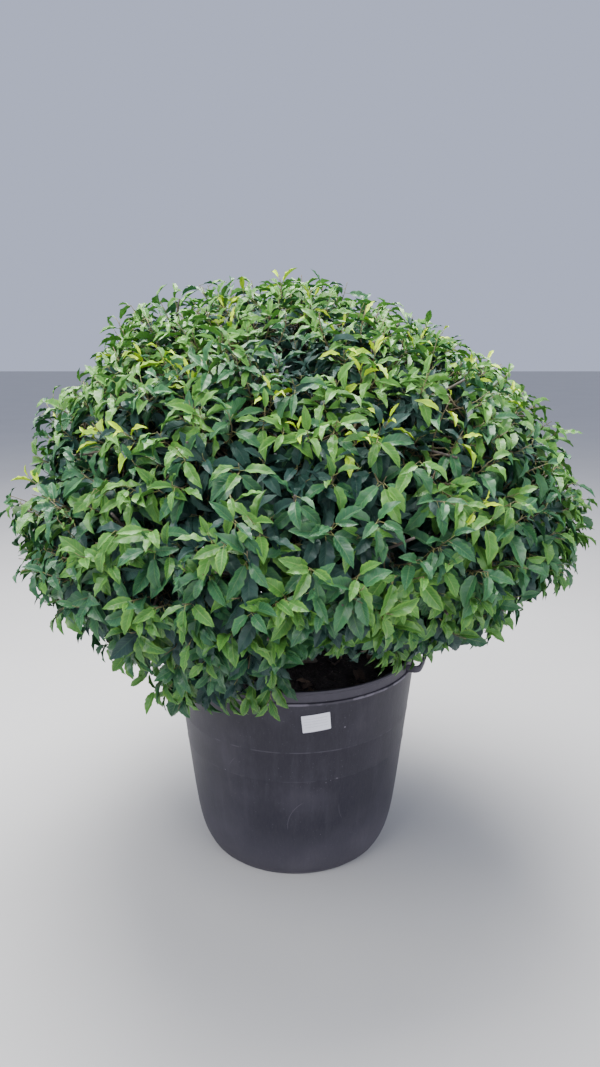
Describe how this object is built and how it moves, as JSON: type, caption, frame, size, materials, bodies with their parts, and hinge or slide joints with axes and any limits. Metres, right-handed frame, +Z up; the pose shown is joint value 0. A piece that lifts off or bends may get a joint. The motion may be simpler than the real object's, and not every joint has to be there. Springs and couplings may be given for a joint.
{
  "type": "clipped laurel shrub in a nursery pot",
  "caption": "Evergreen laurel clipped to a low dome and lightly grown out, on a short hidden trunk in a large round plastic nursery pot.",
  "frame": {"origin": "middle of the pot's flat underside, which stands on the ground", "axes": "+Z up, -Y towards the viewer of the picture, +X to that viewer's right"},
  "size_m": [1.601, 1.565, 1.6372],
  "materials": {
    "pot_plastic": "matte",
    "label_paper": "satin",
    "soil": "matte",
    "bark": "matte",
    "foliage": "satin"
  },
  "bodies": {
    "root": {"pot": "pot_plastic", "pot_handle_right": "pot_plastic", "pot_handle_left": "pot_plastic", "label": "label_paper", "soil": "soil", "trunk": "bark", "bough_upper_1": "bark", "bough_upper_2": "bark", "bough_upper_3": "bark", "bough_upper_4": "bark", "bough_upper_5": "bark", "bough_upper_6": "bark", "bough_lower_1": "bark", "bough_lower_2": "bark", "bough_lower_3": "bark", "bough_lower_4": "bark", "bough_lower_5": "bark", "bough_lower_6": "bark", "bough_lower_7": "bark", "bough_lower_8": "bark", "foliage_top": "foliage", "foliage_upper_1": "foliage", "foliage_upper_2": "foliage", "foliage_upper_3": "foliage", "foliage_upper_4": "foliage", "foliage_upper_5": "foliage", "foliage_upper_6": "foliage", "foliage_lower_1": "foliage", "foliage_lower_2": "foliage", "foliage_lower_3": "foliage", "foliage_lower_4": "foliage", "foliage_lower_5": "foliage", "foliage_lower_6": "foliage", "foliage_lower_7": "foliage", "foliage_lower_8": "foliage"}
  },
  "joints": []
}
